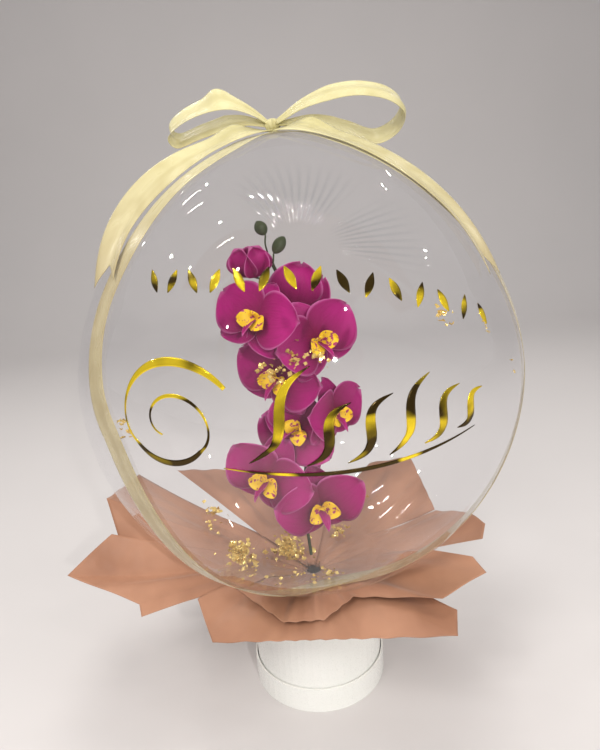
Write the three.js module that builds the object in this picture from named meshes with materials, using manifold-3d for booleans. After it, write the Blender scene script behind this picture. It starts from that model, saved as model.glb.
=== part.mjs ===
// A clear bubble balloon standing in a white hat box. A satin ribbon is tied round it in a
// bow, gold foil strokes are stuck on its front and blush film is gathered round its foot.
// Millimetres, +Z up. The origin is the centre of the flat underside, and the front faces -Y.

import * as THREE from 'three';
import { mergeVertices } from 'three/addons/utils/BufferGeometryUtils.js';
import Module from 'manifold-3d';

// Hat box: a round board box that stands in its own upturned lid
const BOX_RADIUS = 75;
const BOX_HEIGHT = 150;
const BOARD = 2;
const LID_HEIGHT = 30;
const LID_CLEARANCE = 1;
const SEAT_GAP = 0.3;

// Bubble, with the tied neck that hangs inside the box
const BUBBLE_HALF_WIDTH = 225;
const BUBBLE_HALF_HEIGHT = 235;
const SHOULDER_FULLNESS = 1.8;
const NECK_RADIUS = 7;
const NECK_LENGTH = 40;
const NECK_SHOULDER_RADIUS = 21;
const NECK_GATHER_LENGTH = 6;
const NECK_FLARE_LENGTH = 26;
const NECK_END_RADIUS = 12;

// Blush film, laid over the box rim in two layers under the bubble
const FILM_THICKNESS = 1;
const FILM_BED = 8;
const FILM_TUCK = 22;
const FILM_MOUTH_RADIUS = 15;
const FILM_GAP = 0.7;
const LAYER_STEP = 2.3;
const PLEAT_DEPTH = 3;
const PLEAT_COUNT = 11;
const FILM_BUBBLE_CLEARANCE = 3.4;
const FILM_PRESSED_RADIUS = 202;
const FILM_PRESSED_FROM = 0.15;

// Satin ribbon
const RIBBON_WIDTH = 27;
const RIBBON_THICKNESS = 0.8;
const RIBBON_STANDOFF = 0.9;
const TAIL_STANDOFF = 2.6;
const LEFT_TAIL_LIFT = 19;
const RIGHT_TAIL_LIFT = 5;
const TAIL_LIFT_SPAN = 0.85;
const STEEPEST_LIFT = 0.9;
const TAIL_NOTCH = 18;
const KNOT_RADIUS = 8.5;
const KNOT_FLATNESS = 0.85;
const KNOT_BITE = 0.3;
const KNOT_SQUEEZE = 7;
const SQUEEZED_SHARE = 0.2;
const BOW_LEAN = 36;
const LEFT_LOOP_SETBACK = 10;

// Gold foil strokes on the front of the bubble
const FOIL_THICKNESS = 0.5;
const FOIL_STANDOFF = 0.3;
const TICK_COUNT = 15;
const TICK_LENGTH = 20;
const TICK_WIDTH = 7;
const TICK_LEAN = 24;
const ROW_LATITUDE = 33;
const ROW_LEFT = -36;
const ROW_RIGHT = 46;
const ROW_LEVEL_SHARE = 0.45;
const ROW_FALL = 22;
const STROKE_TIP = 0.6;
const VOLUTE_CENTRE = [-104, 24];
const VOLUTE_RADII = [58, 54];
const VOLUTE_START = 35;
const VOLUTE_TURN = 560;
const VOLUTE_EYE_SHARE = 0.24;
const VOLUTE_HAIRLINE = 1.6;
const VOLUTE_SWELL = 6;
const STEM_LEFT = [-62, -13];
const STEM_RIGHT = [144, -7];
const STEM_SAG = 8;
const STEM_WIDTH = 3.4;
const LEAF_WIDTH = 8;
const LEAF_CLEARANCE = 7;

// Facets
const ROUND_STEPS = 56;
const BUBBLE_STEPS = 44;
const BUBBLE_ROWS = 22;
const SHEET_COLUMNS = 14;
const STRAP_STEPS = 60;
const TAIL_STEPS = 16;
const LOOP_STEPS = 26;
const TICK_STEPS = 4;
const VOLUTE_STEPS = 40;
const STEM_STEPS = 24;
const LEAF_STEPS = 8;

const RIM_Z = BOARD + SEAT_GAP + BOX_HEIGHT;
const rimShare = BOX_RADIUS / BUBBLE_HALF_WIDTH;
const BUBBLE_Z = RIM_Z + FILM_BED + BUBBLE_HALF_HEIGHT * Math.sqrt(1 - rimShare * rimShare);

const paint = {
  board: new THREE.MeshStandardMaterial({ color: 0xf1efe8, roughness: 0.35, metalness: 0 }),
  bubble: new THREE.MeshStandardMaterial({
    color: 0xf4f4f6, roughness: 0.05, metalness: 0, transparent: true, opacity: 0.2,
  }),
  film: new THREE.MeshStandardMaterial({ color: 0xd9a68f, roughness: 0.6, metalness: 0 }),
  ribbon: new THREE.MeshStandardMaterial({ color: 0xe9dfa6, roughness: 0.35, metalness: 0 }),
  foil: new THREE.MeshStandardMaterial({ color: 0xc9a21c, roughness: 0.2, metalness: 1 }),
};

const part = new THREE.Group();

function add(name, geometry, material) {
  const mesh = new THREE.Mesh(geometry, material);
  mesh.name = name;
  part.add(mesh);
}

const rad = THREE.MathUtils.degToRad;
const deg = THREE.MathUtils.radToDeg;

// A turned piece: its half section in radius and height, spun about +Z
function turned(section, steps) {
  const points = section.map(([r, z]) => new THREE.Vector2(r, z));
  const geometry = new THREE.LatheGeometry(points, steps);
  geometry.rotateX(Math.PI / 2);
  return geometry;
}

// A thin closed solid on the middle surface at(u, v): rows run along v, columns along u
function slab(at, columns, rows, thickness, ring = false) {
  const step = 1e-3;
  const wide = columns + 1;
  const high = ring ? rows : rows + 1;
  const points = [];
  for (const side of [0.5, -0.5]) {
    for (let j = 0; j < high; j++) {
      for (let i = 0; i < wide; i++) {
        const u = i / columns;
        const v = j / rows;
        const du = at(Math.min(u + step, 1), v).sub(at(Math.max(u - step, 0), v));
        const before = ring ? v - step : Math.max(v - step, 0);
        const after = ring ? v + step : Math.min(v + step, 1);
        const dv = at(u, after).sub(at(u, before));
        const normal = du.cross(dv).normalize();
        const point = at(u, v).addScaledVector(normal, side * thickness);
        points.push(point.x, point.y, point.z);
      }
    }
  }
  const index = [];
  const layer = wide * high;
  const id = (i, j, below) => i + (j % high) * wide + (below ? layer : 0);
  const quad = (a, b, c, d) => index.push(a, b, c, a, c, d);
  for (let j = 0; j < rows; j++) {
    for (let i = 0; i < columns; i++) {
      quad(id(i, j), id(i + 1, j), id(i + 1, j + 1), id(i, j + 1));
      quad(id(i, j, 1), id(i, j + 1, 1), id(i + 1, j + 1, 1), id(i + 1, j, 1));
    }
    quad(id(0, j), id(0, j + 1), id(0, j + 1, 1), id(0, j, 1));
    quad(id(columns, j), id(columns, j, 1), id(columns, j + 1, 1), id(columns, j + 1));
  }
  for (let i = 0; i < columns && !ring; i++) {
    quad(id(i, 0), id(i, 0, 1), id(i + 1, 0, 1), id(i + 1, 0));
    quad(id(i, rows), id(i + 1, rows), id(i + 1, rows, 1), id(i, rows, 1));
  }
  const geometry = new THREE.BufferGeometry();
  geometry.setAttribute('position', new THREE.Float32BufferAttribute(points, 3));
  geometry.setIndex(index);
  return geometry;
}

// Hat box: open above, empty inside, with walls and floor of true board thickness
function hatBox() {
  const floor = BOARD + SEAT_GAP;
  const inside = BOX_RADIUS - BOARD;
  return turned([
    [0, floor], [BOX_RADIUS, floor], [BOX_RADIUS, RIM_Z], [inside, RIM_Z],
    [inside, floor + BOARD], [0, floor + BOARD],
  ], ROUND_STEPS);
}

function hatBoxLid() {
  const inside = BOX_RADIUS + LID_CLEARANCE;
  const outside = inside + BOARD;
  return turned([
    [0, 0], [outside, 0], [outside, LID_HEIGHT], [inside, LID_HEIGHT], [inside, BOARD], [0, BOARD],
  ], ROUND_STEPS);
}

// The bubble is an ellipse below its girth. Above it the shoulders are a little less full,
// as an ellipse's would be with SHOULDER_FULLNESS in place of its power of 2.
function shoulderShare(share) {
  return share ** (2 / SHOULDER_FULLNESS);
}

// The bubble's film pulls in to a tied neck with a short flared end
function bubble() {
  const bottom = BUBBLE_Z - BUBBLE_HALF_HEIGHT;
  const end = bottom - NECK_LENGTH;
  const section = [
    [0, end], [NECK_END_RADIUS, end], [NECK_RADIUS, end + NECK_FLARE_LENGTH],
    [NECK_RADIUS, bottom - NECK_GATHER_LENGTH],
  ];
  const start = Math.asin(NECK_SHOULDER_RADIUS / BUBBLE_HALF_WIDTH) - Math.PI / 2;
  for (let i = 0; i < BUBBLE_ROWS; i++) {
    const latitude = THREE.MathUtils.lerp(start, Math.PI / 2, i / BUBBLE_ROWS);
    const upper = latitude > 0;
    const out = upper ? shoulderShare(Math.cos(latitude)) : Math.cos(latitude);
    const up = upper ? shoulderShare(Math.sin(latitude)) : Math.sin(latitude);
    section.push([BUBBLE_HALF_WIDTH * out, BUBBLE_Z + BUBBLE_HALF_HEIGHT * up]);
  }
  section.push([0, BUBBLE_Z + BUBBLE_HALF_HEIGHT]);
  return turned(section, BUBBLE_STEPS);
}

// A place on the bubble, by its direction from the centre and its height off the surface,
// with the way out from the surface there
function onBubble(way, height) {
  const upper = way.z > 0;
  const level = Math.hypot(way.x, way.y);
  const out = upper ? shoulderShare(level) : level;
  const up = upper ? shoulderShare(way.z) : way.z;
  const power = (upper ? SHOULDER_FULLNESS : 2) - 1;
  const flat = new THREE.Vector3(way.x / level, way.y / level, 0);
  const normal = flat.clone().multiplyScalar(out ** power / BUBBLE_HALF_WIDTH);
  normal.z = Math.sign(up) * Math.abs(up) ** power / BUBBLE_HALF_HEIGHT;
  normal.normalize();
  const place = flat.multiplyScalar(out * BUBBLE_HALF_WIDTH);
  place.z = BUBBLE_Z + up * BUBBLE_HALF_HEIGHT;
  return { place: place.addScaledVector(normal, height), normal };
}

// Longitude runs from the front to the right, latitude from the widest girth upward
function direction(longitude, latitude) {
  const level = Math.cos(rad(latitude));
  return new THREE.Vector3(
    level * Math.sin(rad(longitude)), -level * Math.cos(rad(longitude)), Math.sin(rad(latitude)),
  );
}

// The lower surface of the bubble at a distance from its axis
function underBubble(radius) {
  const share = Math.min(radius / BUBBLE_HALF_WIDTH, 1);
  return BUBBLE_Z - BUBBLE_HALF_HEIGHT * Math.sqrt(1 - share * share);
}

// One film sheet: it runs from beside the neck across the mouth of the box, is gathered over
// the rim between two angles and flares to an outer edge, whose corners are [angle, reach
// beyond the box wall, rise above the rim]
function filmSheet({ from, to, layer, arch, edge }) {
  const throat = FILM_GAP + FILM_THICKNESS / 2 + layer * LAYER_STEP;
  const inner = BOX_RADIUS - BOARD - throat + FILM_GAP - SEAT_GAP;
  const throatRows = 2;
  const flareRows = 5;
  const rows = throatRows + flareRows;
  const columnsEach = Math.max(3, Math.round(SHEET_COLUMNS / (edge.length - 1)));
  const place = (angle, radius, z) => new THREE.Vector3(
    radius * Math.sin(rad(angle)), -radius * Math.cos(rad(angle)), z,
  );
  const corners = edge.map(([angle, reach, rise]) => place(angle, BOX_RADIUS + reach, RIM_Z + rise));
  const at = (u, v) => {
    const rimAngle = THREE.MathUtils.lerp(from, to, u);
    const row = v * rows;
    const rim = place(rimAngle, BOX_RADIUS + SEAT_GAP, RIM_Z + throat);
    if (row <= throatRows) {
      const foot = place(rimAngle, FILM_MOUTH_RADIUS, RIM_Z - FILM_TUCK + layer * LAYER_STEP);
      const bend = place(rimAngle, inner, RIM_Z + throat);
      return row <= 1 ? foot.lerp(bend, row) : bend.lerp(rim, row - 1);
    }
    const w = (row - throatRows) / flareRows;
    const along = u * (corners.length - 1);
    const k = Math.min(Math.floor(along), corners.length - 2);
    const outer = corners[k].clone().lerp(corners[k + 1], along - k);
    const point = rim.lerp(outer, w);
    const lift = 4 * w * (1 - w);
    const angle = Math.atan2(point.x, -point.y);
    point.z += arch * lift + PLEAT_DEPTH * lift * Math.cos(PLEAT_COUNT * angle);
    const radius = Math.hypot(point.x, point.y);
    const ceiling = underBubble(radius) - FILM_BUBBLE_CLEARANCE - (1 - layer) * LAYER_STEP;
    if (radius < FILM_PRESSED_RADIUS && w > FILM_PRESSED_FROM) point.z = Math.min(point.z, ceiling);
    return point;
  };
  return slab(at, columnsEach * (edge.length - 1), rows, FILM_THICKNESS);
}

const filmSheets = {
  film_sheet_front: {
    from: -52, to: 60, layer: 0, arch: 3,
    edge: [[-59, 71, 4], [-42, 84, -17], [5, 54, -14], [44, 118, -12], [52, 104, -4], [52, 86, -2]],
  },
  film_fold_front: {
    from: -46, to: 84, layer: 1, arch: 2,
    edge: [
      [-47, 37, 13], [-16, 46, 0], [3, 42, 0], [22, 27, 8], [48, 94, 13], [63, 123, 23],
      [68, 107, 28],
    ],
  },
  film_sheet_left: {
    from: -92, to: -57, layer: 1, arch: -2,
    edge: [[-88, 153, 50], [-82, 201, 20], [-67, 127, 6], [-64, 128, -2]],
  },
  film_sheet_left_back: {
    from: -128, to: -88, layer: 0, arch: -4,
    edge: [[-118, 179, 63], [-96, 165, 78], [-91, 150, 40]],
  },
  film_sheet_back: {
    from: 165, to: 235, layer: 1, arch: 0,
    edge: [[166, 58, 16], [184, 72, 20], [212, 110, 44], [233, 145, 60]],
  },
  film_sheet_back_right: {
    from: 118, to: 167, layer: 0, arch: -2,
    edge: [[107, 87, 22], [136, 133, 48], [151, 108, 38], [155, 84, 24]],
  },
  film_sheet_right: {
    from: 84, to: 114, layer: 0, arch: -2,
    edge: [[74, 116, 38], [80, 120, 46], [90, 108, 42], [102, 82, 28]],
  },
};

// Satin ribbon: one length, passed round the bubble and tied on top in a bow
const strapRoute = [
  [-46, 70], [-54, 54], [-54, 38], [-54, 24], [-50, 10], [-43, -4], [-39, -18], [-34, -42],
  [-20, -64], [20, -74], [52, -60], [64, -38], [70, -14], [71, 8], [69, 30], [62, 50], [50, 70],
];
const leftTailRoute = [[-62, 82], [-64, 72], [-66, 61], [-66, 52], [-64, 44], [-60, 37], [-56, 31]];
const rightTailRoute = [[30, 82], [48, 73], [57, 62], [61, 51], [62, 42], [61, 33], [60, 27]];
const KNOT_AT = [-65, 86.3];

// Bow loops, as [right, up] from the knot in the leaning plane of the bow
const rightLoopRoute = [
  [4, 3], [30, 20], [60, 30], [86, 31], [112, 23], [125, 9], [120, -8], [101, -19], [72, -8],
  [38, 3], [4, 1],
];
const leftLoopRoute = [
  [-4, 3], [-18, 13], [-37, 20], [-61, 18], [-86, 8], [-100, -5], [-95, -14], [-68, -6],
  [-29, 4], [-4, 1],
];

// A point of a band that runs along a route over the bubble, across millimetres off its
// middle. A twist lifts one of its edges and lowers the other.
function onBand(route, t, across, height, twist = 0) {
  const spot = (share) => onBubble(route.getPointAt(share).normalize(), height);
  const { place, normal } = spot(t);
  const along = spot(Math.min(t + 1e-3, 1)).place.sub(spot(Math.max(t - 1e-3, 0)).place);
  const side = along.cross(normal).normalize();
  return place.addScaledVector(side, across * Math.cos(twist))
    .addScaledVector(normal, across * Math.sin(twist));
}

function strapSolid() {
  const stops = [direction(...KNOT_AT), ...strapRoute.map((stop) => direction(...stop))];
  const route = new THREE.CatmullRomCurve3(stops, true);
  const height = RIBBON_STANDOFF + RIBBON_THICKNESS / 2;
  const at = (u, v) => onBand(route, v - Math.floor(v), (u - 0.5) * RIBBON_WIDTH, height);
  return slab(at, 1, STRAP_STEPS, RIBBON_THICKNESS, true);
}

// The ribbon's width at a share of a tail's or loop's length from the knot
function squeezed(share) {
  return KNOT_SQUEEZE + (RIBBON_WIDTH - KNOT_SQUEEZE) * Math.min(share / SQUEEZED_SHARE, 1);
}

// One edge of a tail lies near the bubble and the other lifts off it: the edge on the right
// as seen along the tail from outside if mostLift is above 0, else the edge on the left
function tailSolid(stops, mostLift) {
  const all = [KNOT_AT, ...stops].map((stop) => direction(...stop));
  const route = new THREE.CatmullRomCurve3(all);
  const length = route.getLength() * BUBBLE_HALF_WIDTH;
  const height = TAIL_STANDOFF + RIBBON_THICKNESS / 2;
  const at = (u, v) => {
    const notch = (1 - Math.abs(2 * u - 1)) * TAIL_NOTCH / length;
    const t = Math.min(v * (1 - notch), 1);
    const width = squeezed(t);
    const share = Math.sin(Math.PI * TAIL_LIFT_SPAN * t) ** 2;
    const lift = Math.min(Math.abs(mostLift) * share, width * STEEPEST_LIFT);
    const twist = Math.sign(mostLift) * Math.asin(lift / width);
    return onBand(route, t, (u - 0.5) * width, height + lift / 2, twist);
  };
  return slab(at, 2, TAIL_STEPS, RIBBON_THICKNESS);
}

function knotPlace() {
  const height = RIBBON_STANDOFF - KNOT_BITE + KNOT_RADIUS * KNOT_FLATNESS;
  return onBubble(direction(...KNOT_AT), height).place;
}

function loopSolid(stops, setback) {
  const up = new THREE.Vector3(0, -Math.sin(rad(BOW_LEAN)), Math.cos(rad(BOW_LEAN)));
  const wide = new THREE.Vector3(0, Math.cos(rad(BOW_LEAN)), Math.sin(rad(BOW_LEAN)));
  const knot = knotPlace();
  const route = new THREE.CatmullRomCurve3(stops.map(([x, y]) => new THREE.Vector3(x, y, 0)));
  const at = (u, v) => {
    const place = route.getPointAt(v);
    const fromKnot = Math.min(v, 1 - v);
    const back = (u - 0.5) * squeezed(fromKnot) + setback * Math.min(fromKnot / SQUEEZED_SHARE, 1);
    return knot.clone().addScaledVector(up, place.y).addScaledVector(wide, back)
      .add(new THREE.Vector3(place.x, 0, 0));
  };
  return slab(at, 1, LOOP_STEPS, RIBBON_THICKNESS);
}

function knotSolid() {
  const knot = new THREE.SphereGeometry(KNOT_RADIUS, 12, 8);
  knot.scale(1, 1, KNOT_FLATNESS);
  const place = knotPlace();
  knot.translate(place.x, place.y, place.z);
  return knot;
}

const wasm = await Module();
wasm.setup();

function joined(geometries) {
  const solids = geometries.map((geometry) => {
    geometry.deleteAttribute('normal');
    geometry.deleteAttribute('uv');
    const clean = mergeVertices(geometry, 1e-4);
    return new wasm.Manifold(new wasm.Mesh({
      numProp: 3,
      vertProperties: new Float32Array(clean.attributes.position.array),
      triVerts: new Uint32Array(clean.index.array),
    }));
  });
  const whole = solids.reduce((sum, solid) => sum.add(solid)).simplify(0.02).getMesh();
  const geometry = new THREE.BufferGeometry();
  geometry.setAttribute('position', new THREE.Float32BufferAttribute(whole.vertProperties, 3));
  geometry.setIndex(Array.from(whole.triVerts));
  return geometry;
}

function satinRibbon() {
  return joined([
    strapSolid(), knotSolid(),
    tailSolid(leftTailRoute, LEFT_TAIL_LIFT), tailSolid(rightTailRoute, -RIGHT_TAIL_LIFT),
    loopSolid(rightLoopRoute, 0), loopSolid(leftLoopRoute, LEFT_LOOP_SETBACK),
  ]);
}

// Foil strokes: a tapered band along a path in [right, up] millimetres on the bubble's front
function foilStroke(path, width, steps) {
  const height = FOIL_STANDOFF + FOIL_THICKNESS / 2;
  const at = (u, v) => {
    const before = path(Math.max(v - 1e-3, 0));
    const ahead = path(Math.min(v + 1e-3, 1)).sub(before).normalize();
    const across = (u - 0.5) * width(v);
    const spot = path(v).add(new THREE.Vector2(ahead.y, -ahead.x).multiplyScalar(across));
    const latitude = spot.y / BUBBLE_HALF_HEIGHT;
    const longitude = spot.x / (BUBBLE_HALF_WIDTH * Math.cos(latitude));
    return onBubble(direction(deg(longitude), deg(latitude)), height).place;
  };
  return slab(at, 1, steps, FOIL_THICKNESS);
}

const leafWidth = (most) => (v) => STROKE_TIP + (most - STROKE_TIP) * Math.sin(Math.PI * v);

// A row of small leaf-shaped strokes that lean to and fro, falling away to the right
function foilTick(index) {
  const share = index / (TICK_COUNT - 1);
  const fall = ROW_FALL * Math.max(share - ROW_LEVEL_SHARE, 0) * share;
  const longitude = rad(THREE.MathUtils.lerp(ROW_LEFT, ROW_RIGHT, share));
  const latitude = rad(ROW_LATITUDE - fall);
  const middle = new THREE.Vector2(
    longitude * BUBBLE_HALF_WIDTH * Math.cos(latitude), latitude * BUBBLE_HALF_HEIGHT,
  );
  const lean = rad(index % 2 ? TICK_LEAN : -TICK_LEAN);
  const reach = new THREE.Vector2(Math.sin(lean), Math.cos(lean)).multiplyScalar(TICK_LENGTH / 2);
  const path = (v) => middle.clone().addScaledVector(reach, 2 * v - 1);
  return foilStroke(path, leafWidth(TICK_WIDTH), TICK_STEPS);
}

// The large flourish: a volute on the left, slanting leaves, and a long stem below them
const voluteTurn = (v) => rad(VOLUTE_START + VOLUTE_TURN * v);

function volutePath(v) {
  const size = THREE.MathUtils.lerp(1, VOLUTE_EYE_SHARE, v);
  return new THREE.Vector2(
    VOLUTE_CENTRE[0] + VOLUTE_RADII[0] * size * Math.cos(voluteTurn(v)),
    VOLUTE_CENTRE[1] + VOLUTE_RADII[1] * size * Math.sin(voluteTurn(v)),
  );
}

function voluteWidth(v) {
  return VOLUTE_HAIRLINE + VOLUTE_SWELL * Math.sin(voluteTurn(v)) ** 2 * (1 - v);
}

function stemPath(v) {
  const x = THREE.MathUtils.lerp(STEM_LEFT[0], STEM_RIGHT[0], v);
  const y = THREE.MathUtils.lerp(STEM_LEFT[1], STEM_RIGHT[1], v * v);
  return new THREE.Vector2(x, y - STEM_SAG * Math.sin(Math.PI * v));
}

// Leaves as [foot along the stem, length, lean from upright, bend]
const foilLeaves = [
  [-42, 92, 32, 8], [0, 62, 34, 7], [30, 66, 34, 8], [62, 74, 30, 7], [92, 58, 38, 8],
  [124, 44, 44, 7],
];

function leafPath([foot, length, lean, bend]) {
  const along = new THREE.Vector2(Math.sin(rad(lean)), Math.cos(rad(lean)));
  const aside = new THREE.Vector2(along.y, -along.x);
  const start = stemPath((foot - STEM_LEFT[0]) / (STEM_RIGHT[0] - STEM_LEFT[0]));
  start.y += LEAF_CLEARANCE;
  return (v) => start.clone().addScaledVector(along, length * v)
    .addScaledVector(aside, bend * Math.sin(Math.PI * 2 * v));
}

add('hat_box_lid', hatBoxLid(), paint.board);
add('hat_box', hatBox(), paint.board);
add('bubble_balloon', bubble(), paint.bubble);
for (const [name, sheet] of Object.entries(filmSheets)) add(name, filmSheet(sheet), paint.film);
add('satin_ribbon', satinRibbon(), paint.ribbon);
for (let i = 0; i < TICK_COUNT; i++) {
  add(`foil_tick_${String(i + 1).padStart(2, '0')}`, foilTick(i), paint.foil);
}
add('foil_volute', foilStroke(volutePath, voluteWidth, VOLUTE_STEPS), paint.foil);
add('foil_stem', foilStroke(stemPath, leafWidth(STEM_WIDTH), STEM_STEPS), paint.foil);
foilLeaves.forEach((leaf, i) => {
  const stroke = foilStroke(leafPath(leaf), leafWidth(LEAF_WIDTH), LEAF_STEPS);
  add(`foil_leaf_${i + 1}`, stroke, paint.foil);
});

export default part;
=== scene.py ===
import random
from math import asin, atan2, cos, degrees, exp, floor, hypot, pi, radians, sin, sqrt

import bpy
from mathutils import Matrix, Vector


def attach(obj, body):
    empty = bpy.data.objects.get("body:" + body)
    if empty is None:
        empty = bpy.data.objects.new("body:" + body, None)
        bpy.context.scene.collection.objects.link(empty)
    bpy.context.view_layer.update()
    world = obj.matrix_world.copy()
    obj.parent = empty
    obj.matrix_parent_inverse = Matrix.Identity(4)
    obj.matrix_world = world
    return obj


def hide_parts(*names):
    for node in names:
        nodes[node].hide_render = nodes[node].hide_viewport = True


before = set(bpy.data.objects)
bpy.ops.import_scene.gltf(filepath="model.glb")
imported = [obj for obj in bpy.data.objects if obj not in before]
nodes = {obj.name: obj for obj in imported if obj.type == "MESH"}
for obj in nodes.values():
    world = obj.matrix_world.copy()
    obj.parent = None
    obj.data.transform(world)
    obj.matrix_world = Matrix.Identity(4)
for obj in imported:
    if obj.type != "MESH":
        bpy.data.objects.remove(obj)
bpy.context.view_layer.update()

scene = bpy.context.scene

# Camera
# It stands level with the balloon's shoulders, tipped down and rolled a little.
camera = bpy.data.objects.new("camera", bpy.data.cameras.new("camera"))
camera.data.sensor_fit = "HORIZONTAL"
camera.data.sensor_width = 36
camera.data.lens = 36.66
camera.matrix_world = (
    Matrix.Translation((-0.0005, -0.6318, 0.5576))
    @ Matrix.Rotation(radians(90 - 16.27), 4, "X")
    @ Matrix.Rotation(radians(-4.0), 4, "Z")
)
scene.collection.objects.link(camera)
scene.camera = camera
scene.view_settings.view_transform = "Standard"


# Hat box and the lid it stands in
# White coated paperboard, rolled into a tube and glued to a disc. The board is smooth and a
# little glossy, with a faint paper grain.
class Value:
    """A socket of a material's nodes, with arithmetic."""

    def __init__(self, looks, socket):
        self.looks, self.socket = looks, socket

    def math(self, operation, *others):
        return self.looks.math(operation, self, *others)

    def __add__(self, other):
        return self.math("ADD", other)

    def __sub__(self, other):
        return self.math("SUBTRACT", other)

    def __rsub__(self, other):
        return self.looks.math("SUBTRACT", other, self)

    def __mul__(self, other):
        return self.math("MULTIPLY", other)

    def __pow__(self, other):
        return self.math("POWER", other)

    __radd__ = __add__
    __rmul__ = __mul__


class Looks:
    """A material with one Principled shader. Plain values are given by socket name."""

    def __init__(self, name, **plain):
        self.material = bpy.data.materials.new(name)
        self.material.use_nodes = True
        self.tree = self.material.node_tree
        self.shader = self.tree.nodes["Principled BSDF"]
        for socket, value in plain.items():
            self.set(socket.replace("_", " "), value)

    def put(self, socket, value):
        if isinstance(value, Value):
            self.tree.links.new(value.socket, socket)
        elif isinstance(value, tuple) and len(socket.default_value) == 4:
            socket.default_value = (*value, 1)
        else:
            socket.default_value = value

    def set(self, socket, value):
        self.put(self.shader.inputs[socket], value)

    def node(self, kind, inputs=(), output=0, **attributes):
        node = self.tree.nodes.new(kind)
        for name, value in attributes.items():
            setattr(node, name, value)
        for socket, value in dict(inputs).items():
            self.put(node.inputs[socket], value)
        return Value(self, node.outputs[output])

    def math(self, operation, *values):
        inputs = dict(enumerate(values))
        return self.node("ShaderNodeMath", inputs, operation=operation)

    def place(self):
        return self.node("ShaderNodeTexCoord", output="Object")

    def uv(self):
        return self.node("ShaderNodeUVMap", uv_map="along")

    def noise(self, scale, detail=3, place=None, distortion=0.0):
        inputs = {"Vector": place or self.place(), "Scale": scale, "Detail": detail,
                  "Distortion": distortion}
        return self.node("ShaderNodeTexNoise", inputs)

    def stretched(self, scale, place=None):
        inputs = {0: place or self.place(), 1: Vector(scale)}
        return self.node("ShaderNodeVectorMath", inputs, operation="MULTIPLY")

    def ramp(self, value, low, high, to_low=0.0, to_high=1.0):
        inputs = {"Value": value, "From Min": low, "From Max": high, "To Min": to_low,
                  "To Max": to_high}
        return self.node("ShaderNodeMapRange", inputs)

    def mix(self, factor, a, b):
        inputs = {0: factor, 6: a, 7: b}
        return self.node("ShaderNodeMix", inputs, output=2, data_type="RGBA")

    def bump(self, height, distance, strength=1.0):
        inputs = {"Height": height, "Distance": distance, "Strength": strength}
        self.set("Normal", self.node("ShaderNodeBump", inputs))


def dress(obj, looks):
    obj.data.materials.clear()
    obj.data.materials.append(looks.material)


board = Looks("white_board", Roughness=0.3, Coat_Weight=0.35, Coat_Roughness=0.12)
grain = board.noise(900, 4)
clouding = board.noise(9, 2)
board.set("Base Color", board.mix(clouding, (0.86, 0.86, 0.83), (0.78, 0.79, 0.75)))
board.set("Roughness", board.ramp(grain, 0.3, 0.7, 0.24, 0.36))
board.bump(grain, 0.00004)
for name in ("hat_box", "hat_box_lid"):
    dress(nodes[name], board)
    nodes[name].data.shade_smooth()
    nodes[name].data.set_sharp_from_angle(angle=radians(30))


# Bubble balloon
# Clear stretch film blown to a ball, with a fuller lower half and a tied, pleated neck in the
# box. It shows only by its reflections, its rim seen at a glance and two fans of fine creases.
HALF_WIDTH = 0.225
HALF_HEIGHT = 0.235
CENTRE_Z = 0.38186
SHOULDER_FULLNESS = 1.8
SKIN_COLUMNS, SKIN_ROWS = 144, 96
NECK_SHOULDER_RADIUS = 0.021
NECK_PROFILE = (
    (0.0004, -0.040), (0.012, -0.040), (0.0115, -0.036), (0.009, -0.026), (0.007, -0.014),
    (0.0068, -0.006), (0.010, -0.001), (0.0165, 0.0008),
)


def smooth_mesh(name, vertices, faces, corners):
    """A mesh whose texture map 'along' has a place in metres for each corner of its faces."""
    mesh = bpy.data.meshes.new(name)
    mesh.from_pydata(vertices, [], faces)
    layer = mesh.uv_layers.new(name="along")
    for corner, place in zip(layer.data, corners):
        corner.uv = place
    mesh.shade_smooth()
    return mesh


def sheet_mesh(name, at, columns, rows, ring=False, size=(1.0, 1.0)):
    """A mesh of the surface at(u, v), whose real width and length in metres are its size."""
    high = rows if ring else rows + 1
    vertices = [at(i / columns, j / rows) for j in range(high) for i in range(columns + 1)]
    faces, corners = [], []
    for j in range(rows):
        for i in range(columns):
            near, far = j * (columns + 1), (j + 1) % high * (columns + 1)
            faces.append((near + i, near + i + 1, far + i + 1, far + i))
            for a, b in ((i, j), (i + 1, j), (i + 1, j + 1), (i, j + 1)):
                corners.append((a / columns * size[0], b / rows * size[1]))
    return smooth_mesh(name, vertices, faces, corners)


def piece(name, mesh, looks, replaces=(), thickness=0.0):
    """One piece of the object, riding on its only body."""
    obj = bpy.data.objects.new(name, mesh)
    scene.collection.objects.link(obj)
    dress(obj, looks)
    if thickness:
        wall = obj.modifiers.new("thickness", "SOLIDIFY")
        wall.thickness = thickness
        wall.offset = 0
    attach(obj, "root")
    if replaces:
        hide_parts(*replaces)
    return obj


def shoulder_share(share):
    return share ** (2 / SHOULDER_FULLNESS)


def on_bubble(way, height=0.0):
    """The place on the balloon in that direction, height metres off its surface."""
    level = hypot(way.x, way.y)
    out = shoulder_share(level) if way.z > 0 else level
    up = shoulder_share(way.z) if way.z > 0 else way.z
    power = (SHOULDER_FULLNESS if way.z > 0 else 2) - 1
    flat = Vector((way.x / level, way.y / level, 0))
    normal = flat * (out ** power / HALF_WIDTH)
    normal.z = (1 if up > 0 else -1) * abs(up) ** power / HALF_HEIGHT
    normal.normalize()
    place = flat * (out * HALF_WIDTH)
    place.z = CENTRE_Z + up * HALF_HEIGHT
    return place + normal * height


def around(angle, radius, z):
    """The place at an angle in degrees from the front and a radius from the middle."""
    return Vector((radius * sin(radians(angle)), -radius * cos(radians(angle)), z))


def direction(longitude, latitude):
    return around(longitude, cos(radians(latitude)), sin(radians(latitude)))


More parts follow.
